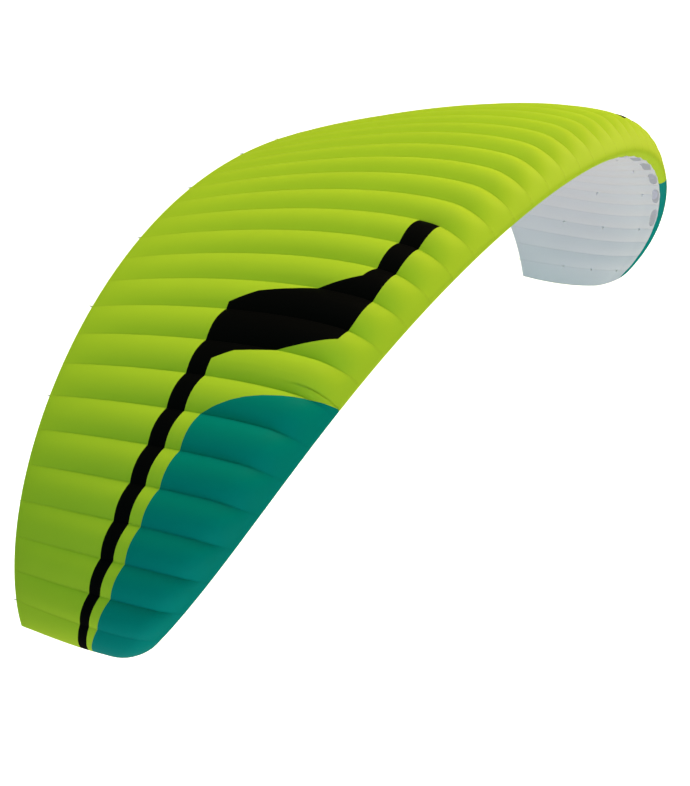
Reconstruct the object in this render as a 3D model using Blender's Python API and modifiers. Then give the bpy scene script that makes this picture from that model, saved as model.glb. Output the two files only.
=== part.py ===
"""Paraglider canopy, inflated as in flight: upper and lower skins, ribs, line tabs and wing tips.

Metres. The leading edge faces -Y, +Z is up, and the pilot's right wing is at -X. The origin is on the
centre section's chord line, where the wing's twist turns about.

Two coordinates place everything on the wing. A rib number runs from 0 at the right tip to CELLS at the
left tip, with fractions inside a cell. A place round a section is s: its square is the share of the
chord behind the leading edge, and s is negative below and positive above, so it runs smoothly round the
nose.
"""
import math
from functools import lru_cache

import bmesh
import bpy
from mathutils import Matrix, Vector

# Planform of the flattened wing, as (power of the span share, metres aft at the tip)
HALF_SPAN = 5.25
ROOT_CHORD = 3.0
ORIGIN_SHARE = 0.3
LEADING_SWEEP = ((0, -0.012), (2, 1.18), (4, -0.27), (8, 0.51))
TRAILING_SWEEP = ((2, -0.95), (4, 0.56), (8, -0.12))

# Arc of the span and twist of the sections, as (power of the span share, degrees at the tip)
ARC = ((1, 47.8), (3, 13.3), (5, 15.4))
TWIST = ((2, 6.6), (6, -9.5))
ARC_STEPS = 160

# Section, in shares of the chord
THICKNESS = 0.148
CAMBER = 0.031
CAMBER_AT = 0.11
TRAILING_HALF = 0.003
THICKNESS_TERMS = ((1, 0.2969), (2, -0.1260), (4, -0.3516), (6, 0.2843), (8, -0.1036))

# Cells: widths are in full cells, and they narrow towards the tips
CELLS = 40
TIP_CELL = 0.73
OUTER_CELL = 0.75
NARROWING_CELLS = 3.2

# How far the cloth bulges between the ribs, in cell widths, above and below; it is flat round the nose
UPPER_BULGE = 0.17
LOWER_BULGE = 0.09
NOSE_FLAT = 0.08
NOSE_FADE = 0.28
TAIL_POWER = 0.5

# Fabric is modelled as plates of this thickness, and neighbours keep a gap
SKIN = 0.002
RIB_HALF = 0.001
GAP = 0.0003
RIB_CLEARANCE = 0.002
RIB_ROOT = 0.0012

# Rows of the skins round a section; the seam between them is just below the nose
SEAM = -0.165
SEAM_GAP = 0.007
UPPER_ROWS = (SEAM, -0.105, -0.05, 0.01, 0.08, 0.18, 0.3, 0.44, 0.6, 0.76, 0.89, 1.0)
LOWER_ROWS = (-1.0, -0.86, -0.68, -0.45, -0.25, SEAM - SEAM_GAP)
UPPER_SHARES = (0.0, 0.2, 0.5, 0.8)
LOWER_SHARES = (0.0, 0.3, 0.7)

# Air mouths: one in front of every second rib, over the nearer spans of the cells on its two sides
MOUTH_ROW = 4
FIRST_MOUTH = 5
MOUTH_SPANS = 2

# Roots of the plain ribs in the lower skin, which end behind a mouth and otherwise reach the nose
ROOT_ROWS = (-0.96, -0.86, -0.68, -0.45)
CUT_ROOT = (-0.29,)
CUT_FRONT = -0.28
NOSE_ROOT = (-0.235, -0.2)
NOSE_FRONT = -0.19

# Ribs that carry lines, counted from a tip, and the places of their tabs and ports
LINE_RIBS = (1, 4, 7, 10, 13, 16, 19)
LINE_ROWS = (-0.33, -0.57, -0.76)
PORTS = (0.08, 0.22, 0.38, 0.56)
PORT_SHARE = 0.28
PORT_SIDES = 10
TAB_HALF_WIDTH = 0.009
TAB_HALF_THICKNESS = 0.002
TAB_START = 0.004
TAB_END = 0.034
TAB_HOLE_AT = 0.023
TAB_HOLE_RADIUS = 0.005
NECK_HALF_WIDTH = 0.007
NECK_END = 0.008

# Wing tips: the rows are the same above and below, because the two meet along the outer edge
TIP_COLUMNS = 6
TIP_SWELL = 0.17
TIP_ROUND = 0.45
TIP_ROWS = (0.08, 0.17, 0.28, 0.4, 0.54, 0.7, 0.86, 1.0)

# Colour, roughness
LIME = ((0.36, 0.56, 0.014, 1.0), 0.55)
TEAL = ((0.0, 0.22, 0.19, 1.0), 0.55)
WHITE = ((0.75, 0.76, 0.76, 1.0), 0.6)
GREY = ((0.55, 0.56, 0.57, 1.0), 0.65)


def series(terms, value):
    """Sum of each size times the value to its power."""
    return sum(size * value ** power for power, size in terms)


def cells_from_tip(count):
    """Width of the outermost cells, in full cells."""
    inner = max(count - 1, 0)
    narrowing = (1 - OUTER_CELL) * NARROWING_CELLS * (1 - math.exp(-inner / NARROWING_CELLS))
    return min(count, 1) * TIP_CELL + inner - narrowing


def span_share(rib):
    """Share of the half span at a rib number: -1 at the right tip, 0 at the centre, 1 at the left."""
    half = CELLS / 2
    share = 1 - cells_from_tip(half - abs(rib - half)) / cells_from_tip(half)
    return math.copysign(share, rib - half)


@lru_cache(maxsize=None)
def arc_place(share):
    """Reach, height and lean of the arc at a share of the half span."""
    reach = height = 0.0
    step = share / ARC_STEPS
    for i in range(ARC_STEPS):
        lean = math.radians(series(ARC, (i + 0.5) * step))
        reach += math.cos(lean) * step * HALF_SPAN
        height -= math.sin(lean) * step * HALF_SPAN
    return reach, height, math.radians(series(ARC, share))


def section_frame(rib):
    """Matrix of a section's plane: x aft, y up the arc's normal, z along the span."""
    share = span_share(rib)
    side = math.copysign(1, share)
    reach, height, lean = arc_place(abs(share))
    up = Vector((side * math.sin(lean), 0, math.cos(lean)))
    along = Vector((math.cos(lean), 0, -side * math.sin(lean)))
    axes = Matrix((Vector((0, 1, 0)), up, along)).transposed().to_4x4()
    return Matrix.Translation((side * reach, 0, height)) @ axes


def section_point(rib, s, out=0.0, kept=1.0):
    """Place on a section in its own plane, moved off the surface by out.

    kept is how much of its height above the camber line the upper side has."""
    share = abs(span_share(rib))
    front = series(LEADING_SWEEP, share)
    chord = ROOT_CHORD + series(TRAILING_SWEEP, share) - front

    def untwisted(place):
        x = place * place
        if x < CAMBER_AT:
            camber = CAMBER * (2 * x / CAMBER_AT - (x / CAMBER_AT) ** 2)
        else:
            camber = CAMBER * (1 - 2 * CAMBER_AT + 2 * CAMBER_AT * x - x * x) / (1 - CAMBER_AT) ** 2
        half = 5 * THICKNESS * series(THICKNESS_TERMS, abs(place)) * chord + TRAILING_HALF * x
        height = camber * chord + (kept if place > 0 else -1) * half
        return Vector((front + x * chord - ORIGIN_SHARE * ROOT_CHORD, height))

    point = untwisted(s)
    if out:
        tangent = untwisted(s + 0.0005) - untwisted(s - 0.0005)
        point += Vector((-tangent.y, tangent.x)).normalized() * out
    twist = math.radians(series(TWIST, share))
    return Matrix.Rotation(twist, 2) @ point


def cell_width(cell):
    """Width along the arc of the cell that starts at a whole rib number."""
    return HALF_SPAN * abs(span_share(cell + 1) - span_share(cell))


def skin_point(rib, s):
    """Place on the inflated skin, which bulges between the ribs and is flat at its nose and tail."""
    cell = min(math.floor(rib + 1e-6), CELLS - 1)
    across = min(max(rib - cell, 0), 1)
    nose = min(max((abs(s) - NOSE_FLAT) / (NOSE_FADE - NOSE_FLAT), 0), 1)
    share = (UPPER_BULGE if s > 0 else LOWER_BULGE) * (1 - s * s) ** TAIL_POWER
    share *= nose * nose * (3 - 2 * nose)
    out = share * cell_width(cell) * 4 * across * (1 - across)
    return section_frame(rib) @ section_point(rib, s, out).to_3d()


def row_place(rib, rows, s, out=0.0):
    """Place on the straight line that joins a section's rows, so that a rib follows the faceted skin."""
    after = next(i for i in range(1, len(rows)) if s <= rows[i] + 1e-9)
    start, end = rows[after - 1], rows[after]
    near = section_point(rib, start)
    step = section_point(rib, end) - near
    outward = Vector((-step.y, step.x)).normalized()
    return near + step * (s - start) / (end - start) + outward * out, outward


def material(name, look):
    """Plain finish for one object."""
    colour, roughness = look
    finish = bpy.data.materials.new(name)
    finish.use_nodes = True
    shader = finish.node_tree.nodes["Principled BSDF"]
    shader.inputs["Base Color"].default_value = colour
    shader.inputs["Roughness"].default_value = roughness
    finish.diffuse_color = colour
    return finish


def place_object(name, mesh, collection, look=None):
    """Object for a mesh, with its own material unless it is a cutter."""
    thing = bpy.data.objects.new(name, mesh)
    collection.objects.link(thing)
    if look is None:
        thing.hide_render = True
        thing.display_type = "WIRE"
    else:
        mesh.materials.append(material(name, look))
    return thing


def sheet_mesh(name, ribs, rows, open_faces=()):
    """Open sheet through skin_point, without the faces in open_faces, which are (column, row) pairs.

    It is cut into triangles, so that both its sides fold along the same lines once it has a thickness."""
    mesh = bmesh.new()
    grid = [[mesh.verts.new(skin_point(rib, s)) for s in rows] for rib in ribs]
    for i in range(len(ribs) - 1):
        for j in range(len(rows) - 1):
            if (i, j) not in open_faces:
                mesh.faces.new((grid[i][j], grid[i + 1][j], grid[i + 1][j + 1], grid[i][j + 1]))
    bmesh.ops.delete(mesh, geom=[v for v in mesh.verts if not v.link_faces], context="VERTS")
    bmesh.ops.triangulate(mesh, faces=mesh.faces, quad_method="SHORT_EDGE")
    data = bpy.data.meshes.new(name)
    mesh.to_mesh(data)
    mesh.free()
    return data


def plate_mesh(name, outlines, half_thickness, matrix):
    """Flat plate from closed outlines, where an outline inside another is a hole."""
    curve = bpy.data.curves.new(name, "CURVE")
    curve.dimensions = "2D"
    curve.fill_mode = "BOTH"
    curve.extrude = half_thickness
    for outline in outlines:
        spline = curve.splines.new("POLY")
        spline.points.add(len(outline) - 1)
        for point, place in zip(spline.points, outline):
            point.co = (place.x, place.y, 0, 1)
        spline.use_cyclic_u = True
    flat = bpy.data.objects.new(name, curve)
    bpy.context.scene.collection.objects.link(flat)
    bpy.context.view_layer.update()
    data = bpy.data.meshes.new_from_object(flat.evaluated_get(bpy.context.evaluated_depsgraph_get()))
    bpy.data.objects.remove(flat)
    mesh = bmesh.new()
    mesh.from_mesh(data)
    bmesh.ops.remove_doubles(mesh, verts=mesh.verts, dist=1e-6)
    bmesh.ops.recalc_face_normals(mesh, faces=mesh.faces)
    mesh.transform(matrix)
    mesh.to_mesh(data)
    mesh.free()
    return data


def ring(centre, radius, sides):
    """Regular outline round a centre."""
    turns = (2 * math.pi * i / sides for i in range(sides))
    return [centre + Vector((math.cos(turn), math.sin(turn))) * radius for turn in turns]


def tab_outlines(base, outward):
    """Outline and hole of one line tab that hangs off base."""
    side = Vector((-outward.y, outward.x))
    corner = TAB_HALF_WIDTH / 2
    profile = ((-TAB_HALF_WIDTH, TAB_START), (TAB_HALF_WIDTH, TAB_START),
               (TAB_HALF_WIDTH, TAB_END - corner), (corner, TAB_END),
               (-corner, TAB_END), (-TAB_HALF_WIDTH, TAB_END - corner))
    outline = [base + side * x + outward * y for x, y in profile]
    return [outline, ring(base + outward * TAB_HOLE_AT, TAB_HOLE_RADIUS, 6)]


def tab_bases(rib):
    """Place and outward direction of each line tab on a rib, and of its brake tab."""
    bases = [row_place(rib, LOWER_ROWS, s) for s in LINE_ROWS]
    above, below = section_point(rib, 1.0), section_point(rib, -1.0)
    height = above - below
    return bases + [((above + below) / 2, Vector((height.y, -height.x)).normalized())]


def line_rib_outlines(rib):
    """Outline of a rib that carries lines, flush with the skins, with its necks and its ports."""
    *necks, (brake, aft) = tab_bases(rib)
    up = Vector((-aft.y, aft.x)) * TRAILING_HALF
    outline = [brake + aft * NECK_END + up, brake + aft * NECK_END - up]
    for i, s in enumerate(LOWER_ROWS[:-1]):
        outline.append(section_point(rib, s))
        for base, outward in (neck for neck, place in zip(necks, LINE_ROWS) if s < place < LOWER_ROWS[i + 1]):
            side = Vector((-outward.y, outward.x)) * NECK_HALF_WIDTH
            step = side if side.dot(section_point(rib, LOWER_ROWS[i + 1]) - outline[-1]) > 0 else -side
            outline += [base - step, base - step + outward * NECK_END,
                        base + step + outward * NECK_END, base + step]
    outline += [section_point(rib, s) for s in UPPER_ROWS]
    return [outline] + port_outlines(rib)


def port_outlines(rib):
    """Round ports that let the air pass between the cells."""
    outlines = []
    for share in PORTS:
        place = math.sqrt(share)
        above, below = section_point(rib, place), section_point(rib, -place)
        outlines.append(ring((above + below) / 2, PORT_SHARE * (above - below).length, PORT_SIDES))
    return outlines


def plain_rib_outline(rib):
    """Outline of a rib inside a bay: rooted in the lower skin, clear of the upper one, cut back at a mouth."""
    clear = -SKIN - RIB_CLEARANCE
    cut = has_mouth(rib)
    below = [row_place(rib, LOWER_ROWS, s, -RIB_ROOT)[0] for s in ROOT_ROWS + (CUT_ROOT if cut else NOSE_ROOT)]
    front = [row_place(rib, LOWER_ROWS, CUT_FRONT if cut else NOSE_FRONT, clear)[0]]
    above = [section_point(rib, s, clear) for s in UPPER_ROWS[2 if cut else 1:-1]]
    return below + front + above + [row_place(rib, UPPER_ROWS, 0.96, clear)[0]]


def end_inset(rib):
    """Distance from a line rib's middle to a skin's end: a swept skin's thickness leans towards the rib."""
    slopes = [(power - 1, size * power / HALF_SPAN) for power, size in LEADING_SWEEP if power > 0]
    sweep = math.atan(series(slopes, abs(span_share(rib))))
    return RIB_HALF + GAP + SKIN * math.sin(sweep)


def bay_ribs(first, last, shares):
    """Rib numbers of a bay's columns, with its two ends clear of the line ribs."""
    inside = [cell + share for cell in range(first, last) for share in shares if cell + share > first]
    return ([first + end_inset(first) / cell_width(first)] + inside
            + [last - end_inset(last) / cell_width(last - 1)])


def upper_bay(name, first, last, parts):
    """Upper skin between two line ribs, from the seam below the nose to the trailing edge."""
    mesh = sheet_mesh(name, bay_ribs(first, last, UPPER_SHARES), UPPER_ROWS)
    thicken(place_object(name, mesh, parts, LIME))


def thicken(skin):
    """Give a skin its thickness, inwards."""
    solidify = skin.modifiers.new("skin thickness", "SOLIDIFY")
    solidify.thickness = SKIN
    solidify.offset = -1


def unite(body, mesh, cutters):
    """Join a closed mesh to a body by a Boolean union."""
    added = place_object(mesh.name, mesh, cutters)
    union = body.modifiers.new(mesh.name, "BOOLEAN")
    union.operation = "UNION"
    union.solver = "EXACT"
    union.object = added


def has_mouth(rib):
    """Whether an air mouth lies in front of a rib."""
    return (rib - FIRST_MOUTH) % 2 == 0 and FIRST_MOUTH <= rib <= CELLS - FIRST_MOUTH


def mouth_faces(first, last):
    """Faces of a lower bay that its air mouths leave open, as (column, row) pairs."""
    columns = len(LOWER_SHARES)
    faces = set()
    for cell in range(first, last):
        spans = range(0)
        if has_mouth(cell):
            spans = range(MOUTH_SPANS)
        elif has_mouth(cell + 1):
            spans = range(columns - MOUTH_SPANS, columns)
        faces |= {((cell - first) * columns + span, MOUTH_ROW) for span in spans}
    return faces


def lower_bay(name, first, last, parts, cutters):
    """Lower skin between two line ribs, with its air mouths, and the plain ribs on it."""
    mesh = sheet_mesh(name, bay_ribs(first, last, LOWER_SHARES), LOWER_ROWS, mouth_faces(first, last))
    skin = place_object(name, mesh, parts, WHITE)
    thicken(skin)
    for rib in range(first + 1, last):
        plate = plate_mesh(f"plain_rib_{rib}", [plain_rib_outline(rib)], RIB_HALF, section_frame(rib))
        unite(skin, plate, cutters)


def line_rib(name, rib, parts, cutters):
    """Rib that carries lines, with its webbing tabs."""
    frame = section_frame(rib)
    plate = plate_mesh(name, line_rib_outlines(rib), RIB_HALF, frame)
    body = place_object(name, plate, parts, GREY)
    outlines = [outline for base in tab_bases(rib) for outline in tab_outlines(*base)]
    unite(body, plate_mesh(f"tabs_{rib}", outlines, TAB_HALF_THICKNESS, frame), cutters)


def wingtip(name, rib, outward, parts):
    """Closed tip cell: the upper side closes down to the lower one along a curved outer edge."""
    start = (RIB_HALF + GAP) / cell_width(min(rib, rib + outward))
    rows = [-place for place in reversed(TIP_ROWS)] + [0.0] + list(TIP_ROWS)
    mesh = bmesh.new()
    loops = []
    for i in range(TIP_COLUMNS):
        turn = math.pi / 2 * i / (TIP_COLUMNS - 1)
        loop = []
        for s in rows:
            missing = max(1 - abs(s) / TIP_ROUND, 0) ** 2 - TIP_SWELL * 4 * s * s * (1 - s * s)
            at = rib + outward * (start + (1 - start) * (1 - missing) * math.sin(turn))
            place = section_point(at, s, 0, 2 * math.cos(turn) - 1)
            loop.append(mesh.verts.new(section_frame(at) @ place.to_3d()))
        loops.append(loop)
    for near, far in zip(loops, loops[1:]):
        for j in range(len(rows)):
            after = (j + 1) % len(rows)
            mesh.faces.new((near[j], near[after], far[after], far[j]))
    mesh.faces.new(loops[0])
    bmesh.ops.remove_doubles(mesh, verts=mesh.verts, dist=2e-5)
    bmesh.ops.recalc_face_normals(mesh, faces=mesh.faces)
    data = bpy.data.meshes.new(name)
    mesh.to_mesh(data)
    mesh.free()
    place_object(name, data, parts, TEAL)


def new_collection(name):
    """Collection in the scene."""
    collection = bpy.data.collections.new(name)
    bpy.context.scene.collection.children.link(collection)
    return collection


def main():
    for thing in list(bpy.data.objects):
        bpy.data.objects.remove(thing)
    parts = new_collection("paraglider_canopy")
    cutters = new_collection("cutters")

    line_ribs = sorted(LINE_RIBS + tuple(CELLS - rib for rib in LINE_RIBS))
    per_side = len(LINE_RIBS)
    for i, rib in enumerate(line_ribs):
        side, number = ("right", per_side - i) if i < per_side else ("left", i - per_side + 1)
        line_rib(f"line_rib_{side}_{number}", rib, parts, cutters)
    for i, (first, last) in enumerate(zip(line_ribs, line_ribs[1:])):
        place = i - (per_side - 1)
        label = "centre" if place == 0 else f"{'right' if place < 0 else 'left'}_{abs(place)}"
        upper_bay(f"upper_skin_{label}", first, last, parts)
        lower_bay(f"lower_skin_{label}", first, last, parts, cutters)
    wingtip("wingtip_right", line_ribs[0], -1, parts)
    wingtip("wingtip_left", line_ribs[-1], 1, parts)


main()
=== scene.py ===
"""Looks of the inflated paraglider canopy: sewn cloth panels, ribs, air mouths, line tabs and a studio.

Metres, in the part's own frame: the leading edge faces -Y, +Z is up, and the right wing is at -X. Two
coordinates place everything on the wing, as in the part's source. A rib number runs from 0 at the right
tip to CELLS at the left tip, with fractions inside a cell. A place round a section is s: its square is
the share of the chord behind the leading edge, and s is negative below and positive above.
"""
import math

import bmesh
import bpy
import numpy as np
from mathutils import Matrix, Vector


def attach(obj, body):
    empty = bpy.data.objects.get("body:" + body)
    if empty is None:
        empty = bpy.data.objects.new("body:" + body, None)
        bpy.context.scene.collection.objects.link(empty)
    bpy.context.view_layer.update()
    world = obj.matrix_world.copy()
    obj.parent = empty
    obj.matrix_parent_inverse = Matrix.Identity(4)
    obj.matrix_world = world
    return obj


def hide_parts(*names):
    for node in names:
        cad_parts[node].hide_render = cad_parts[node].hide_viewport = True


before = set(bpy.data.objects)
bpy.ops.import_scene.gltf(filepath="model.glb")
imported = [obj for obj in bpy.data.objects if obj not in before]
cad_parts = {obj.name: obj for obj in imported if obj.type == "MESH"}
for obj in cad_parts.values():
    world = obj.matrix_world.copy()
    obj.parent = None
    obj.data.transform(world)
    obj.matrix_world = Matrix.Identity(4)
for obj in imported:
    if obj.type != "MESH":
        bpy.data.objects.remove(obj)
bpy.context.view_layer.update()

# Planform, arc and twist of the wing, the same as in the part
HALF_SPAN = 5.25
ROOT_CHORD = 3.0
ORIGIN_SHARE = 0.3
LEADING_SWEEP = ((0, -0.012), (2, 1.18), (4, -0.27), (8, 0.51))
TRAILING_SWEEP = ((2, -0.95), (4, 0.56), (8, -0.12))
ARC = ((1, 47.8), (3, 13.3), (5, 15.4))
TWIST = ((2, 6.6), (6, -9.5))
ARC_STEPS = 160
THICKNESS = 0.148
CAMBER = 0.031
CAMBER_AT = 0.11
TRAILING_HALF = 0.003
THICKNESS_TERMS = ((1, 0.2969), (2, -0.1260), (4, -0.3516), (6, 0.2843), (8, -0.1036))
CELLS = 40
TIP_CELL = 0.73
OUTER_CELL = 0.75
NARROWING_CELLS = 3.2
FIRST_MOUTH = 5
TIP_SWELL = 0.17
TIP_ROUND = 0.45
LINE_RIBS = (1, 4, 7, 10, 13, 16, 19)
LINE_ROWS = (-0.33, -0.57, -0.76)
PORTS = (0.08, 0.22, 0.38, 0.56)
PORT_SHARE = 0.28

# How far the cloth bulges between the ribs, as a share of the cell's width
UPPER_BULGE = 0.17
LOWER_BULGE = 0.09
NOSE_FLAT = 0.08
NOSE_FADE = 0.28
TAIL_POWER = 0.5

# Cloth, ribs and webbing tabs
CLOTH = 0.0012
SEAM = -0.165
SEAM_GAP = 0.002
LAP = 0.008
LAP_RISE = 0.0003
RIB_HALF = 0.0006
RIB_INSET = 0.0006
RIB_TAIL = 0.985
RIB_STEP = 0.025
RIB_FRONT_POINTS = 8
RIB_NOSE_POINTS = 12
PORT_POINTS = 36
TAB_HALF_WIDTH = 0.008
TAB_HALF_THICKNESS = 0.0016
TAB_ROUNDING = 0.0006
TAB_START = -0.003
TAB_END = 0.031
TAB_HOLE_AT = 0.0205
TAB_HOLE_RADIUS = 0.0048
TAB_POINTS = 12

# Grid of the skins: columns in a cell, and the longest row in s
CELL_COLUMNS = 12
TIP_COLUMNS = 14
ROW_STEP = 0.018
SLOPE_STEP = 0.0005
NORMAL_STEP = 0.01
ROUND_STEPS = 400

# Tolerances: in rib numbers, and for welding points in metres
SAME_RIB = 1e-4
ROUNDING = 1e-6
WELD = 1e-5

# Colour panels of the upper skin, as (rib number, s) from a tip
STRIPE_AFT = ((0, 0.672), (1, 0.677), (2.5, 0.684), (4, 0.692), (10.18, 0.69), (10.58, 0.631), (10.86, 0.536),
              (11, 0.492), (11.54, 0.379), (12, 0.366), (14, 0.371))
STRIPE_FRONT = ((0, 0.615), (1, 0.625), (3, 0.634), (5, 0.639), (8.42, 0.637), (8.74, 0.592), (8.98, 0.488),
                (9.62, 0.293), (10.2, 0.284), (14, 0.287))
TEAL_AFT = ((0, 0.59), (1, 0.576), (2, 0.578), (4, 0.59), (7, 0.586), (7.2, 0.555), (7.42, 0.513),
            (7.58, 0.472), (7.72, 0.42), (7.85, 0.35), (7.98, 0.26), (8.1, 0.15), (8.2, 0.03), (8.26, SEAM))
STRIPE_END = 14
PANEL_JOIN = 7

# Air mouths in the lower skin, each in front of an odd rib; half the width is in cells
MOUTH_LOW = -0.3
MOUTH_FRONT = -0.2535
MOUTH_BACK = -0.176
MOUTH_HALF_WIDTH = 0.7
MOUTH_POWER = 2.4
MOUTH_SIDE_ROWS = 8
MOUTH_RINGS = 5
MOUTH_CUT = 0.45
BINDING_PROFILE = ((-0.0014, -0.0004), (-0.0004, 0.0008), (0.009, 0.0009), (0.0098, 0.0002),
                   (0.0098, -0.0014), (0.009, -0.0021), (-0.0004, -0.002), (-0.0014, -0.0008))

# Folded hem round the trailing edge, as (distance ahead of the edge, distance outside the cloth)
HEM = 0.014
HEM_PROFILE = ((HEM, 0.0), (HEM - 0.001, 0.0009), (0.0, 0.0011))

# Camera fitted to the photograph's outline
CAMERA_AT = (-11.180, -5.693, 3.148)
CAMERA_AZIMUTH = -57.594
CAMERA_ELEVATION = 22.114
CAMERA_ROLL = -3.990
CAMERA_LENS = 72.187
CAMERA_REACH = 1000
SENSOR = 36.0

# Pale floor, and the dome that it turns up into
STUDIO_RADIUS = 300
STUDIO_SEGMENTS = 64
FLOOR_HEIGHT = -30
FLOOR_GLOW = 0.89

# Colours of the cloth and of the floor
LIME_COLOUR = (0.57, 0.78, 0.038)
BLACK_COLOUR = (0.002, 0.002, 0.0022)
TEAL_COLOUR = (0.0, 0.288, 0.255)
WHITE_COLOUR = (0.8, 0.81, 0.83)
RIB_COLOUR = (0.75, 0.76, 0.78)
INSIDE_COLOUR = (0.8, 0.81, 0.82)
FLOOR_COLOUR = (0.9, 0.9, 0.9)

# Cloth's looks, in metres except for the tones: ripstop grid, weave, slow shade, seams and their puckers
GRID = 0.006
GRID_WIDTH = 0.0006
GRID_SHADE = 0.07
GRID_HEIGHT = 0.00006
GRID_CORE = 0.3
WEAVE_SCALE = 900.0
WEAVE_HEIGHT = 0.00002
SHADE_SCALE = 1.7
SHADE = 0.07
STITCH = 0.005
STITCH_GAP = (0.0005, 0.0008)
THREAD = 0.0006
THREAD_CORE = 0.4
SEAM_ROWS = (0.003, 0.0065)
STITCH_SHADE = 0.3
STITCH_DEPTH = 0.0003
PUCKER_RATE = 38.0
PUCKER_REACH = 0.05
PUCKER_SPREAD = 9.0
PUCKER_POWER = 1.6
PUCKER_HEIGHT = 0.0016
TAPE_PITCH = 0.0016
TAPE_TONE = 0.93
TAPE_SHADE = 0.1
TAPE_HEIGHT = 0.00015
MOTTLE_SCALE = 0.5
MOTTLE = 0.01
MOTTLE_HEIGHT = 0.001
# Painted light: how strongly the ribs and the inside of the cloth glow, in place of light that comes through
# the cloth into the cells
INNER_PAINTED_LIGHT = 0.14

# Studio: lamps as (name, towards the lamp, colour, strength), their degrees across, and the dome as lobes
SUNS = (("key", (0.45, -0.2, 0.86), (1.0, 0.83, 0.5), 1.84),
        ("top", (0.05, -0.1, 1), (0.91, 0.96, 1.0), 0.74),
        ("low right", (0.95, -0.42, 0.2), (1.0, 0.73, 0.55), 1.45),
        ("low front", (-0.3, -0.85, -0.55), (0.72, 1.0, 0.62), 1.05),
        ("low left", (-0.8, -0.2, -0.55), (0.46, 0.46, 1.0), 1.05),
        ("rear left", (-0.5, 0.5, 0.7), (0.6, 1.0, 0.8), 0.42))
SUN_ANGLE = 30
DOME = (((0, 0, -1), (0.7, 0.5, 0.42)), ((-1, 0, 0), (0.02, 0.19, 0.06)))


def series(terms, value):
    """Sum of each size times the value to its power."""
    return sum(size * value ** power for power, size in terms)


def cells_from_tip(count):
    """Width of the outermost cells, in full cells."""
    inner = np.maximum(count - 1, 0)
    narrowing = (1 - OUTER_CELL) * NARROWING_CELLS * (1 - np.exp(-inner / NARROWING_CELLS))
    return np.minimum(count, 1) * TIP_CELL + inner - narrowing


def span_share(rib):
    """Share of the half span at rib numbers: -1 at the right tip, 0 at the centre, 1 at the left."""
    half = CELLS / 2
    share = 1 - cells_from_tip(half - np.abs(rib - half)) / cells_from_tip(np.float64(half))
    return np.copysign(share, rib - half)


def arc_place(share):
    """Reach, height and lean of the arc at shares of the half span."""
    steps = (np.arange(ARC_STEPS) + 0.5)[:, None] * (share / ARC_STEPS)
    lean = np.radians(series(ARC, steps))
    reach = (np.cos(lean) * share / ARC_STEPS).sum(0) * HALF_SPAN
    height = -(np.sin(lean) * share / ARC_STEPS).sum(0) * HALF_SPAN
    return reach, height, np.radians(series(ARC, share))


def section_axes(rib):
    """Origin and axes of the sections' planes: aft, up the arc's normal, along the span."""
    share = span_share(rib)
    side = np.copysign(1, share)
    reach, height, lean = arc_place(np.abs(share))
    zero = np.zeros_like(lean)
    origin = np.stack([side * reach, zero, height], -1)
    aft = np.stack([zero, zero + 1, zero], -1)
    up = np.stack([side * np.sin(lean), zero, np.cos(lean)], -1)
    along = np.stack([np.cos(lean), zero, -side * np.sin(lean)], -1)
    return origin, aft, up, along


def tip_shape(rib, s):
    """In the tip cells the upper skin closes down to the lower one, along a curved outer edge.

    Returns the rib numbers stretched to that edge, and how much of its height the upper skin keeps."""
    beyond = np.clip(1 - np.minimum(rib, CELLS - rib), 0, 1)
    x = s * s
    missing = np.clip(1 - np.abs(s) / TIP_ROUND, 0, 1) ** 2 - TIP_SWELL * 4 * x * (1 - x)
    kept = np.where(s > 0, 2 * np.sqrt(1 - beyond ** 2) - 1, 1)
    return rib + np.where(rib < CELLS / 2, 1, -1) * missing * beyond, kept


def untwisted(share, s, kept):
    """Place on a section before its twist, as distances aft and up."""
    front = series(LEADING_SWEEP, share)
    chord = ROOT_CHORD + series(TRAILING_SWEEP, share) - front
    x = s * s
    ahead = CAMBER * (2 * x / CAMBER_AT - (x / CAMBER_AT) ** 2)
    behind = CAMBER * (1 - 2 * CAMBER_AT + 2 * CAMBER_AT * x - x * x) / (1 - CAMBER_AT) ** 2
    half = 5 * THICKNESS * np.sign(s) * series(THICKNESS_TERMS, np.abs(s))
    height = (np.where(x < CAMBER_AT, ahead, behind) + kept * half) * chord
    height = height + np.sign(s) * TRAILING_HALF * kept * x
    return front + x * chord - ORIGIN_SHARE * ROOT_CHORD, height


def surface(rib, s, out=0.0):
    """Points of the wing at rib numbers and places s, moved off the sections by out."""
    rib, s = np.broadcast_arrays(np.asarray(rib, float), np.asarray(s, float))
    shape = rib.shape
    rib, s, out = rib.ravel(), s.ravel(), np.broadcast_to(out, shape).ravel()
    rib, kept = tip_shape(rib, s)
    share = np.abs(span_share(rib))
    aft, up = untwisted(share, s, kept)
    ahead = untwisted(share, s + SLOPE_STEP, kept)
    behind = untwisted(share, s - SLOPE_STEP, kept)
    tangent = np.stack([ahead[0] - behind[0], ahead[1] - behind[1]])
    tangent /= np.linalg.norm(tangent, axis=0)
    aft, up = aft - tangent[1] * out, up + tangent[0] * out
    twist = np.radians(series(TWIST, share))
    turned = (aft * np.cos(twist) - up * np.sin(twist), aft * np.sin(twist) + up * np.cos(twist))
    origin, axis_aft, axis_up, _ = section_axes(rib)
    points = origin + turned[0][:, None] * axis_aft + turned[1][:, None] * axis_up
    return points.reshape(shape + (3,))


def round_section(rib, s):
    """Distance round a section from its nose, negative below."""
    share = np.abs(span_share(rib))
    chord = ROOT_CHORD + series(TRAILING_SWEEP, share) - series(LEADING_SWEEP, share)
    places = np.linspace(-1, 1, ROUND_STEPS + 1)
    half = 5 * THICKNESS * np.sign(places) * series(THICKNESS_TERMS, np.abs(places))
    steps = np.hypot(np.diff(places ** 2), np.diff(half))
    distance = np.concatenate([[0], np.cumsum(steps)])
    return (np.interp(s, places, distance) - np.interp(0, places, distance)) * chord


def cell_at(rib):
    """Number of the cell that holds a rib number."""
    return np.clip(np.floor(rib + ROUNDING), 0, CELLS - 1)


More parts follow.
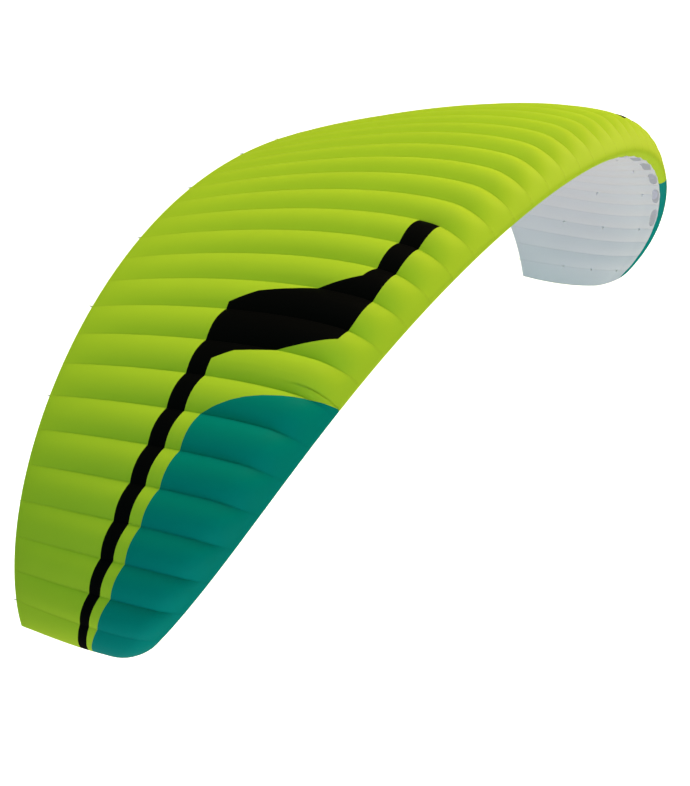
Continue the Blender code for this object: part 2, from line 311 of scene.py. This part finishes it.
def cell_width(rib):
    """Width along the arc of the cell that holds a rib number."""
    cell = cell_at(rib)
    return HALF_SPAN * np.abs(span_share(cell + 1) - span_share(cell))


def bulge(rib, s):
    """Distance that the inflated cloth stands off the sections."""
    cell = cell_at(rib)
    across = np.clip(rib - cell, 0, 1)
    nose = np.clip((np.abs(s) - NOSE_FLAT) / (NOSE_FADE - NOSE_FLAT), 0, 1)
    share = np.where(s > 0, UPPER_BULGE, LOWER_BULGE) * np.clip(1 - s * s, 0, 1) ** TAIL_POWER
    share = share * nose * nose * (3 - 2 * nose)
    share = np.where((cell == 0) | (cell == CELLS - 1), 0, share)
    return share * cell_width(rib) * 4 * across * (1 - across)


def skin(rib, s, inside=0.0):
    """Points of the inflated cloth, or inside it by a distance."""
    return surface(rib, s, bulge(np.asarray(rib, float), np.asarray(s, float)) - inside)


def columns_between(first, last, breaks=()):
    """Rib numbers of the skins' columns: even in a cell, and closer towards a wing's outer edge."""
    numbers = []
    for cell in range(CELLS):
        if cell in (0, CELLS - 1):
            turns = np.sin(np.linspace(0, math.pi / 2, TIP_COLUMNS + 1))
            numbers += list(1 - turns) if cell == 0 else list(CELLS - 1 + turns)
        else:
            numbers += list(cell + np.linspace(0, 1, CELL_COLUMNS + 1))
    numbers = np.array(sorted(numbers + list(breaks)))
    numbers = numbers[(numbers > first - ROUNDING) & (numbers < last + ROUNDING)]
    return numbers[np.concatenate([[True], np.diff(numbers) > SAME_RIB])]


def edge_place(edge, rib):
    """s of a panel's edge at rib numbers, the same on both wings."""
    from_tip = np.minimum(rib, CELLS - rib)
    return np.interp(from_tip, [place for place, _ in edge], [s for _, s in edge])


def cloth_panel(name, columns, low, high, finish, replaces=(), raised=0.0):
    """One sheet of cloth between two lines of s, which can lie a little outside the skin."""
    low, high = (np.broadcast_to(edge, columns.shape) for edge in (low, high))
    rows = max(2, math.ceil(float((high - low).max()) / ROW_STEP)) + 1
    places = low[:, None] + (high - low)[:, None] * np.linspace(0, 1, rows)[None, :]
    ribs = np.repeat(columns[:, None], rows, 1)
    points = skin(ribs, places, -raised).reshape(-1, 3)
    faces = []
    for i in range(len(columns) - 1):
        for j in range(rows - 1):
            a, b = i * rows + j, (i + 1) * rows + j
            faces.append((a, b, b + 1, a + 1))
    return finish_cloth(name, points, ribs.ravel(), places.ravel(), faces, finish, replaces)


def finish_cloth(name, points, ribs, places, faces, finish, replaces=()):
    """Weld a sheet's grid, keep its sewing coordinates, crease it at ribs and edges and give it thickness."""
    mesh = bmesh.new()
    cell = cell_at(ribs)
    across = np.minimum(ribs - cell, cell + 1 - ribs) * cell_width(ribs)
    values = np.stack([ribs, round_section(ribs, places), HALF_SPAN * span_share(ribs), across], 1)
    layers = [mesh.verts.layers.float.new(label) for label in ("rib", "along", "span", "across")]
    verts = []
    for point, row in zip(points, values):
        vert = mesh.verts.new(point)
        for layer, value in zip(layers, row):
            vert[layer] = float(value)
        verts.append(vert)
    for face in faces:
        mesh.faces.new([verts[i] for i in face]).smooth = True
    bmesh.ops.remove_doubles(mesh, verts=mesh.verts, dist=WELD)
    bmesh.ops.dissolve_degenerate(mesh, edges=mesh.edges, dist=ROUNDING)
    for edge in mesh.edges:
        numbers = [vert[layers[0]] for vert in edge.verts]
        whole = max(abs(number - round(numbers[0])) for number in numbers) < SAME_RIB
        edge.smooth = not (edge.is_boundary or (whole and 0.5 < numbers[0] < CELLS - 0.5))
    area = sum(face.calc_area() for face in mesh.faces)
    data = bpy.data.meshes.new(name)
    mesh.to_mesh(data)
    mesh.free()
    thing = dress(name, data, finish, replaces)
    data.materials.append(INSIDE)
    solid = thing.modifiers.new("cloth thickness", "SOLIDIFY")
    solid.thickness = CLOTH
    solid.offset = -1
    solid.material_offset = 1
    return thing


def dress(name, data, finish, replaces=()):
    """Object that rides on the canopy, with its finish."""
    data.materials.append(finish)
    thing = bpy.data.objects.new(name, data)
    bpy.context.scene.collection.objects.link(thing)
    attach(thing, "root")
    if replaces:
        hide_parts(*replaces)
    return thing


def add_node(finish, kind, **settings):
    """New shader node with its settings."""
    node = finish.node_tree.nodes.new(kind)
    for name, value in settings.items():
        setattr(node, name, value)
    return node


def feed(finish, node, *values):
    """Join sockets or numbers to a node's inputs, in their order, and return its first output."""
    for socket, value in zip(node.inputs, values):
        if isinstance(value, bpy.types.NodeSocket):
            finish.node_tree.links.new(value, socket)
        else:
            socket.default_value = value
    return node.outputs[0]


def calculate(finish, operation, *values):
    """Result of a Math node."""
    return feed(finish, add_node(finish, "ShaderNodeMath", operation=operation), *values)


def attribute(finish, label):
    """Sewing coordinate that the mesh carries."""
    return add_node(finish, "ShaderNodeAttribute", attribute_name=label).outputs["Fac"]


def ramp(finish, value, start, end):
    """Smooth step from 0 at start to 1 at end."""
    node = add_node(finish, "ShaderNodeMapRange", interpolation_type="SMOOTHSTEP")
    return feed(finish, node, value, start, end)


def threads(finish, value, pitch, width):
    """1 on lines that lie a pitch apart, 0 between them."""
    away = calculate(finish, "PINGPONG", value, pitch / 2)
    return ramp(finish, away, width, width * GRID_CORE)


def noise(finish, place, scale, detail=2.0):
    """Soft noise from 0 to 1."""
    node = add_node(finish, "ShaderNodeTexNoise")
    node.inputs["Scale"].default_value = scale
    node.inputs["Detail"].default_value = detail
    finish.node_tree.links.new(place, node.inputs["Vector"])
    return node.outputs["Fac"]


def place_from(finish, *values):
    """Point made of three values."""
    return feed(finish, add_node(finish, "ShaderNodeCombineXYZ"), *values)


def base_finish(name, colour, roughness, specular, glow=0.0):
    """Finish with its constants on the shader's own sockets; glow is emission in its own colour: inside the
    wing it is painted light, in place of light that comes through the cloth.
    """
    finish = bpy.data.materials.new(name)
    finish.use_nodes = True
    shader = finish.node_tree.nodes["Principled BSDF"]
    shader.inputs["Base Color"].default_value = (*colour, 1)
    shader.inputs["Roughness"].default_value = roughness
    shader.inputs["Specular IOR Level"].default_value = specular
    shader.inputs["Emission Color"].default_value = (*colour, 1)
    shader.inputs["Emission Strength"].default_value = glow
    return finish


def finish_off(finish, tone, height):
    """Scale the base colour by a tone, and raise the surface by a height in metres."""
    links, shader = finish.node_tree.links, finish.node_tree.nodes["Principled BSDF"]
    colour = tuple(shader.inputs["Base Color"].default_value)[:3]
    toned = add_node(finish, "ShaderNodeVectorMath", operation="SCALE")
    toned.inputs[0].default_value = colour
    links.new(tone, toned.inputs["Scale"])
    links.new(toned.outputs[0], shader.inputs["Base Color"])
    bump = add_node(finish, "ShaderNodeBump")
    bump.inputs["Distance"].default_value = 1
    links.new(height, bump.inputs["Height"])
    links.new(bump.outputs[0], shader.inputs["Normal"])


def ripstop(name, colour, roughness, specular=0.08, glow=0.0, sewn=True):
    """Coated nylon: a grid of thicker threads, slow shifts of tone and, beside each rib, two seams."""
    finish = base_finish(name, colour, roughness, specular, glow)
    along, span = attribute(finish, "along"), attribute(finish, "span")
    place = place_from(finish, span, along, 0.0)
    grid = calculate(finish, "MAXIMUM", threads(finish, along, GRID, GRID_WIDTH),
                     threads(finish, span, GRID, GRID_WIDTH))
    shade = calculate(finish, "MULTIPLY_ADD", noise(finish, place, SHADE_SCALE), SHADE, 1 - SHADE / 2)
    weave = calculate(finish, "MULTIPLY", noise(finish, place, WEAVE_SCALE, 3.0), WEAVE_HEIGHT)
    tone = calculate(finish, "MULTIPLY_ADD", grid, -GRID_SHADE, shade)
    height = calculate(finish, "MULTIPLY_ADD", grid, GRID_HEIGHT, weave)
    if sewn:
        across, rib = attribute(finish, "across"), attribute(finish, "rib")
        dashes = ramp(finish, calculate(finish, "PINGPONG", along, STITCH / 2), *STITCH_GAP)
        rows = [ramp(finish, calculate(finish, "ABSOLUTE", calculate(finish, "SUBTRACT", across, at)),
                     THREAD, THREAD * THREAD_CORE) for at in SEAM_ROWS]
        stitches = calculate(finish, "MULTIPLY", calculate(finish, "MAXIMUM", *rows), dashes)
        tone = calculate(finish, "MULTIPLY_ADD", stitches, -STITCH_SHADE, tone)
        height = calculate(finish, "MULTIPLY_ADD", stitches, -STITCH_DEPTH, height)
        wave_place = place_from(finish, calculate(finish, "MULTIPLY", along, PUCKER_RATE),
                                calculate(finish, "ROUND", rib),
                                calculate(finish, "MULTIPLY", across, PUCKER_SPREAD))
        near = calculate(finish, "POWER", ramp(finish, across, PUCKER_REACH, 0.0), PUCKER_POWER)
        puckers = calculate(finish, "MULTIPLY", noise(finish, wave_place, 1.0, 1.0), near)
        height = calculate(finish, "MULTIPLY_ADD", puckers, PUCKER_HEIGHT, height)
    finish_off(finish, tone, height)
    return finish


def webbing(name, colour):
    """Narrow woven tape."""
    finish = base_finish(name, colour, 0.75, 0.1)
    along, span = attribute(finish, "along"), attribute(finish, "span")
    ribs = threads(finish, calculate(finish, "ADD", along, span), TAPE_PITCH, TAPE_PITCH / 2)
    cross = threads(finish, calculate(finish, "SUBTRACT", along, span), TAPE_PITCH, TAPE_PITCH / 2)
    woven = calculate(finish, "MAXIMUM", ribs, cross)
    tone = calculate(finish, "MULTIPLY_ADD", woven, TAPE_SHADE, TAPE_TONE)
    finish_off(finish, tone, calculate(finish, "MULTIPLY", woven, TAPE_HEIGHT))
    return finish


def floor_finish(name, colour):
    """Pale floor and backdrop with a hardly visible unevenness, lit from within so that the corner fades."""
    finish = base_finish(name, colour, 0.8, 0.2, FLOOR_GLOW)
    place = add_node(finish, "ShaderNodeTexCoord").outputs["Object"]
    mottle = noise(finish, place, MOTTLE_SCALE)
    tone = calculate(finish, "MULTIPLY_ADD", mottle, MOTTLE, 1 - MOTTLE)
    finish_off(finish, tone, calculate(finish, "MULTIPLY", mottle, MOTTLE_HEIGHT))
    return finish


LIME = ripstop("lime ripstop", LIME_COLOUR, 0.55, 0.03)
BLACK = ripstop("black ripstop", BLACK_COLOUR, 0.7, 0.02)
TEAL = ripstop("teal ripstop", TEAL_COLOUR, 0.5, 0.02)
WHITE = ripstop("white ripstop", WHITE_COLOUR, 0.55)
# The ribs and the inside of the cloth glow: painted light, in place of the light that comes through the cloth
# into the cells
RIB_CLOTH = ripstop("rib cloth", RIB_COLOUR, 0.6, glow=INNER_PAINTED_LIGHT, sewn=False)
INSIDE = ripstop("inside of the cloth", INSIDE_COLOUR, 0.7, glow=INNER_PAINTED_LIGHT, sewn=False)
HEM_ABOVE = ripstop("lime hem", LIME_COLOUR, 0.55, 0.03, sewn=False)
HEM_BELOW = ripstop("white hem", WHITE_COLOUR, 0.55, sewn=False)
WEBBING = webbing("webbing", WHITE_COLOUR)
FLOOR = floor_finish("pale floor", FLOOR_COLOUR)


def mirrored(columns):
    """Rib numbers on the other wing."""
    return CELLS - columns[::-1]


def upper_skin():
    """Colour panels of the upper skin, on both wings, and the plain centre."""
    names = [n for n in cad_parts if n.startswith("upper_skin")]
    middle = columns_between(STRIPE_END, CELLS - STRIPE_END)
    cloth_panel("upper_lime_centre", middle, SEAM, 1.0, LIME,
                names + ["wingtip_right", "wingtip_left"])
    breaks = [place for edge in (STRIPE_AFT, STRIPE_FRONT, TEAL_AFT) for place, _ in edge]
    right = columns_between(0, STRIPE_END, breaks)
    for side, columns in (("right", right), ("left", mirrored(right))):
        from_tip = np.minimum(columns, CELLS - columns)
        stripe_aft, stripe_front = edge_place(STRIPE_AFT, columns), edge_place(STRIPE_FRONT, columns)
        teal_aft = edge_place(TEAL_AFT, columns)
        cloth_panel(f"upper_lime_aft_{side}", columns, stripe_aft, 1.0, LIME)
        for label, first, last in (("outer", 0, PANEL_JOIN), ("inner", PANEL_JOIN, STRIPE_END)):
            part = (from_tip > first - ROUNDING) & (from_tip < last + ROUNDING)
            cloth_panel(f"upper_stripe_{label}_{side}", columns[part], stripe_front[part], stripe_aft[part],
                        BLACK)
            cloth_panel(f"upper_lime_front_{label}_{side}", columns[part], teal_aft[part], stripe_front[part],
                        LIME)
        near_tip = from_tip < TEAL_AFT[-1][0] + ROUNDING
        cloth_panel(f"upper_teal_{side}", columns[near_tip], SEAM, teal_aft[near_tip], TEAL)


def has_mouth(rib):
    """Whether an air mouth lies in front of a rib."""
    return (rib - FIRST_MOUTH) % 2 == 0 and FIRST_MOUTH <= rib <= CELLS - FIRST_MOUTH


def lower_skin():
    """White lower skin, with an air mouth in front of every second rib."""
    columns = columns_between(0, CELLS)
    names = [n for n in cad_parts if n.startswith("lower_skin")]
    cloth_panel("lower_skin_aft", columns, -1.0, MOUTH_LOW, WHITE, names)
    front_edge = SEAM - SEAM_GAP
    closed = FIRST_MOUTH - 1
    for side, first, last in (("right", 0, closed), ("left", CELLS - closed, CELLS)):
        cloth_panel(f"lower_skin_front_{side}", columns_between(first, last), MOUTH_LOW - LAP, front_edge,
                    WHITE, raised=LAP_RISE)
    ribs, places, faces = [], [], []
    for rib in filter(has_mouth, range(CELLS)):
        outer, inner = mouth_loops(rib, front_edge)
        start, count = len(ribs), len(outer)
        for ring in range(MOUTH_RINGS + 1):
            blend = ring / MOUTH_RINGS
            loop = outer * (1 - blend) + inner * blend
            ribs += list(loop[:, 0])
            places += list(loop[:, 1])
        for ring in range(MOUTH_RINGS):
            for i in range(count):
                a, b = start + ring * count + i, start + ring * count + (i + 1) % count
                faces.append((a, b, b + count, a + count))
        mouth_binding(rib, inner)
    ribs, places = np.array(ribs), np.array(places)
    points = skin(ribs, places, -LAP_RISE)
    finish_cloth("lower_skin_mouths", points, ribs, places, faces, WHITE)


def mouth_loops(rib, front_edge):
    """Outer rectangle and inner oval of the mouth in front of a rib, as matching loops of (rib number, s)."""
    across = np.linspace(0, 1, 2 * CELL_COLUMNS + 1)
    sides = np.linspace(0, 1, MOUTH_SIDE_ROWS + 1)
    outer = [(x, 0) for x in across[:-1]] + [(1, y) for y in sides[:-1]]
    outer += [(1 - x, 1) for x in across[:-1]] + [(0, 1 - y) for y in sides[:-1]]
    outer = np.array(outer)
    ray = outer * 2 - 1
    oval = ray * (np.abs(ray) ** MOUTH_POWER).sum(1)[:, None] ** (-1 / MOUTH_POWER)
    middle, half = (MOUTH_FRONT + MOUTH_BACK) / 2, (MOUTH_BACK - MOUTH_FRONT) / 2
    inner = np.stack([rib + MOUTH_HALF_WIDTH * oval[:, 0], middle + half * oval[:, 1]], 1)
    low = MOUTH_LOW - LAP
    box = np.stack([rib - 1 + 2 * outer[:, 0], low + (front_edge - low) * outer[:, 1]], 1)
    return box, inner


def mouth_binding(rib, loop):
    """Tape folded over the edge of a mouth."""
    points = skin(loop[:, 0], loop[:, 1])
    normals = skin(loop[:, 0], loop[:, 1], -NORMAL_STEP) - points
    normals /= np.linalg.norm(normals, axis=1)[:, None]
    tangents = np.roll(points, -1, 0) - np.roll(points, 1, 0)
    outwards = np.cross(tangents, normals)
    outwards /= np.linalg.norm(outwards, axis=1)[:, None]
    outwards *= np.sign(((points - points.mean(0)) * outwards).sum())
    rings = [points + outwards * out + normals * up for out, up in BINDING_PROFILE]
    sweep(f"mouth_binding_{rib}", rings, WEBBING)


def sweep(name, rings, finish):
    """Closed tube through loops of points that all have the same number of points."""
    count = len(rings[0])
    verts = np.concatenate(rings)
    lengths = np.linalg.norm(np.diff(rings[0], axis=0, append=rings[0][:1]), axis=1)
    along = np.tile(np.cumsum(lengths), len(rings))
    span = np.repeat(np.arange(len(rings)) * TAPE_PITCH, count)
    faces = []
    for ring in range(len(rings)):
        a, b = ring * count, (ring + 1) % len(rings) * count
        faces += [(a + i, a + (i + 1) % count, b + (i + 1) % count, b + i) for i in range(count)]
    mesh = bmesh.new()
    layers = [mesh.verts.layers.float.new(label) for label in ("along", "span")]
    made = [mesh.verts.new(v) for v in verts]
    for i, vert in enumerate(made):
        vert[layers[0]], vert[layers[1]] = along[i], span[i]
    for face in faces:
        mesh.faces.new([made[i] for i in face]).smooth = True
    bmesh.ops.recalc_face_normals(mesh, faces=mesh.faces)
    data = bpy.data.meshes.new(name)
    mesh.to_mesh(data)
    mesh.free()
    return dress(name, data, finish)


def rib_matrix(rib):
    """Frame of a section's plane: x aft, y up the arc's normal, z along the span."""
    origin, *axes = (v[0] for v in section_axes(np.array([float(rib)])))
    return Matrix.Translation(origin) @ Matrix(axes).transposed().to_4x4()


def in_plane(matrix, points):
    """Points on a section as (aft, up) in its own plane."""
    inverse = matrix.inverted()
    return np.array([(inverse @ Vector(point))[:2] for point in points])


def plate(outlines, half_thickness, matrix, rounding=0.0):
    """Flat plate from closed outlines, where an outline inside another is a hole."""
    curve = bpy.data.curves.new("plate", "CURVE")
    curve.dimensions = "2D"
    curve.fill_mode = "BOTH"
    curve.extrude = half_thickness - rounding
    curve.bevel_depth = rounding
    curve.bevel_resolution = 1
    curve.offset = -rounding
    for outline in outlines:
        spline = curve.splines.new("POLY")
        spline.points.add(len(outline) - 1)
        for point, (x, y) in zip(spline.points, outline):
            point.co = (x, y, 0, 1)
        spline.use_cyclic_u = True
    flat = bpy.data.objects.new("plate", curve)
    bpy.context.scene.collection.objects.link(flat)
    bpy.context.view_layer.update()
    data = bpy.data.meshes.new_from_object(flat.evaluated_get(bpy.context.evaluated_depsgraph_get()))
    bpy.data.objects.remove(flat)
    mesh = bmesh.new()
    mesh.from_mesh(data)
    bmesh.ops.remove_doubles(mesh, verts=mesh.verts, dist=ROUNDING)
    bmesh.ops.recalc_face_normals(mesh, faces=mesh.faces)
    along, span = (mesh.verts.layers.float.new(label) for label in ("along", "span"))
    for vert in mesh.verts:
        vert[along], vert[span] = vert.co.x, vert.co.y
    mesh.transform(matrix)
    mesh.to_mesh(data)
    mesh.free()
    data.materials.clear()
    return data


def rib_outlines(rib, matrix):
    """Outline and round ports of a rib; in front of a mouth its nose is cut back in an arc."""
    back = np.linspace(-RIB_TAIL, MOUTH_LOW, round((RIB_TAIL + MOUTH_LOW) / RIB_STEP))
    front = np.linspace(MOUTH_LOW, SEAM, RIB_FRONT_POINTS)[1:-1]
    over = np.linspace(SEAM, RIB_TAIL, round((RIB_TAIL - SEAM) / RIB_STEP))
    below, above = (in_plane(matrix, surface(rib, s, -RIB_INSET)) for s in (back, over))
    if has_mouth(rib):
        start, end = below[-1], above[0]
        step = end - start
        control = (start + end) / 2 + np.array([step[1], -step[0]]) * MOUTH_CUT
        turn = np.linspace(0, 1, RIB_NOSE_POINTS)[1:-1, None]
        nose = (1 - turn) ** 2 * start + 2 * turn * (1 - turn) * control + turn ** 2 * end
    else:
        nose = in_plane(matrix, surface(rib, front, -RIB_INSET))
    outlines = [np.concatenate([below, nose, above])]
    for share in PORTS:
        top, bottom = in_plane(matrix, surface(rib, np.array([1, -1]) * math.sqrt(share)))
        turns = np.linspace(0, 2 * math.pi, PORT_POINTS, endpoint=False)
        radius = PORT_SHARE * np.linalg.norm(top - bottom)
        outlines.append((top + bottom) / 2 + radius * np.stack([np.cos(turns), np.sin(turns)], 1))
    return outlines


def cell_ribs():
    """Cloth rib between each two cells."""
    per_side = len(LINE_RIBS)
    line_ribs = sorted(LINE_RIBS + tuple(CELLS - rib for rib in LINE_RIBS))
    for rib in range(1, CELLS):
        matrix = rib_matrix(rib)
        outlines = rib_outlines(rib, matrix)
        data = plate(outlines, RIB_HALF, matrix)
        replaced = ()
        if rib in line_ribs:
            i = line_ribs.index(rib)
            side, number = ("right", per_side - i) if i < per_side else ("left", i - per_side + 1)
            replaced = (f"line_rib_{side}_{number}",)
        thing = dress(f"cell_rib_{rib}", data, RIB_CLOTH, replaced)


def tab_outlines(base, outward):
    """Outline and eye of a webbing tab that hangs off a rib."""
    side = np.array([-outward[1], outward[0]])
    turns = np.linspace(0, math.pi, TAB_POINTS)
    shoulder = TAB_END - TAB_HALF_WIDTH
    outline = [(TAB_HALF_WIDTH, TAB_START)]
    outline += [(TAB_HALF_WIDTH * math.cos(t), shoulder + TAB_HALF_WIDTH * math.sin(t)) for t in turns]
    outline += [(-TAB_HALF_WIDTH, TAB_START)]
    turns = np.linspace(0, 2 * math.pi, 2 * TAB_POINTS, endpoint=False)
    eye = [(TAB_HOLE_RADIUS * math.cos(t), TAB_HOLE_AT + TAB_HOLE_RADIUS * math.sin(t)) for t in turns]
    return [np.array([base + side * x + outward * y for x, y in shape]) for shape in (outline, eye)]


def line_tabs():
    """Webbing tabs on the ribs that carry lines: three rows below, and one at the trailing edge."""
    for side, ribs in (("right", LINE_RIBS), ("left", [CELLS - rib for rib in LINE_RIBS])):
        mesh = bmesh.new()
        for rib in ribs:
            matrix = rib_matrix(rib)
            for s in LINE_ROWS:
                base, outer = in_plane(matrix, surface(rib, np.array([s, s]), np.array([0, NORMAL_STEP])))
                outward = (outer - base) / np.linalg.norm(outer - base)
                mesh.from_mesh(plate(tab_outlines(base, outward), TAB_HALF_THICKNESS, matrix, TAB_ROUNDING))
            above, below = in_plane(matrix, surface(rib, np.array([1.0, -1.0])))
            outward = np.array([above[1] - below[1], below[0] - above[0]])
            outward /= np.linalg.norm(outward)
            tab = tab_outlines((above + below) / 2, outward)
            mesh.from_mesh(plate(tab, TAB_HALF_THICKNESS, matrix, TAB_ROUNDING))
        data = bpy.data.meshes.new(f"line_tabs_{side}")
        mesh.to_mesh(data)
        mesh.free()
        dress(f"line_tabs_{side}", data, WEBBING)


def trailing_hem():
    """Hem folded round the trailing edge, which closes it."""
    columns = columns_between(0, CELLS)
    share = np.abs(span_share(columns))
    chord = ROOT_CHORD + series(TRAILING_SWEEP, share) - series(LEADING_SWEEP, share)
    rows = []
    for side in (1, -1):
        profile = HEM_PROFILE if side > 0 else HEM_PROFILE[::-1]
        rows += [surface(columns, side * np.sqrt(1 - ahead / chord), out) for ahead, out in profile]
    verts = np.concatenate(rows)
    count = len(columns)
    faces = [(a * count + i, a * count + i + 1, (a + 1) * count + i + 1, (a + 1) * count + i)
             for a in range(len(rows) - 1) for i in range(count - 1)]
    data = bpy.data.meshes.new("trailing_hem")
    data.from_pydata([tuple(v) for v in verts], [], faces)
    for label, values in (("along", columns * GRID), ("span", HALF_SPAN * share)):
        layer = data.attributes.new(label, "FLOAT", "POINT")
        layer.data.foreach_set("value", np.tile(values, len(rows)))
    first_below = (len(HEM_PROFILE) - 1) * (count - 1)
    data.polygons.foreach_set("material_index", [int(i >= first_below) for i in range(len(faces))])
    thing = dress("trailing_hem", data, HEM_ABOVE)
    data.materials.append(HEM_BELOW)
    solid = thing.modifiers.new("cloth thickness", "SOLIDIFY")
    solid.thickness = CLOTH
    solid.offset = -1


def place_camera():
    """Camera from its place and its three turns."""
    azimuth, elevation, roll = (math.radians(v) for v in (CAMERA_AZIMUTH, CAMERA_ELEVATION, CAMERA_ROLL))
    back = Vector((math.sin(azimuth) * math.cos(elevation), -math.cos(azimuth) * math.cos(elevation),
                   math.sin(elevation)))
    right = Vector((math.cos(azimuth), math.sin(azimuth), 0))
    up = back.cross(right)
    rolled_right = right * math.cos(roll) + up * math.sin(roll)
    rolled_up = up * math.cos(roll) - right * math.sin(roll)
    data = bpy.data.cameras.new("camera")
    data.lens = CAMERA_LENS
    data.sensor_width = SENSOR
    data.clip_end = CAMERA_REACH
    camera = bpy.data.objects.new("camera", data)
    bpy.context.scene.collection.objects.link(camera)
    axes = Matrix((rolled_right, rolled_up, back)).transposed().to_4x4()
    camera.matrix_world = Matrix.Translation(CAMERA_AT) @ axes
    bpy.context.scene.camera = camera


def place_backdrop():
    """Pale floor that turns up into a dome; it is seen, and neither lights nor shades the wing."""
    mesh = bmesh.new()
    bmesh.ops.create_uvsphere(mesh, u_segments=STUDIO_SEGMENTS, v_segments=STUDIO_SEGMENTS,
                              radius=STUDIO_RADIUS)
    for vert in mesh.verts:
        vert.co.z = max(vert.co.z, FLOOR_HEIGHT)
    data = bpy.data.meshes.new("floor")
    mesh.to_mesh(data)
    mesh.free()
    data.materials.append(FLOOR)
    floor = bpy.data.objects.new("floor", data)
    bpy.context.scene.collection.objects.link(floor)
    floor.visible_diffuse = False
    floor.visible_glossy = False
    floor.visible_shadow = False


def place_lamps():
    """Dome of light and wide lamps, seen as the scene's colours stand."""
    bpy.context.scene.world = studio_dome()
    bpy.context.scene.view_settings.view_transform = "Standard"
    for name, direction, colour, strength in SUNS:
        light = bpy.data.lights.new(name, "SUN")
        light.energy = strength
        light.color = colour
        light.angle = math.radians(SUN_ANGLE)
        lamp = bpy.data.objects.new(name, light)
        bpy.context.scene.collection.objects.link(lamp)
        lamp.matrix_world = Vector(direction).normalized().to_track_quat("Z", "Y").to_matrix().to_4x4()


def studio_dome():
    """World whose soft light changes smoothly with direction, as between large panels of a studio."""
    world = bpy.data.worlds.new("studio dome")
    world.use_nodes = True
    links = world.node_tree.links
    direction = add_node(world, "ShaderNodeTexCoord").outputs["Generated"]
    lobes = []
    for axis, colour in DOME:
        facing = add_node(world, "ShaderNodeVectorMath", operation="DOT_PRODUCT")
        feed(world, facing, direction, axis)
        lobe = add_node(world, "ShaderNodeVectorMath", operation="SCALE")
        lobe.inputs[0].default_value = colour
        links.new(calculate(world, "MAXIMUM", facing.outputs["Value"], 0), lobe.inputs["Scale"])
        lobes.append(lobe.outputs[0])
    total = lobes[0]
    for lobe in lobes[1:]:
        total = feed(world, add_node(world, "ShaderNodeVectorMath", operation="ADD"), total, lobe)
    links.new(total, world.node_tree.nodes["Background"].inputs["Color"])
    return world


upper_skin()
lower_skin()
cell_ribs()
line_tabs()
trailing_hem()
place_camera()
place_backdrop()
place_lamps()
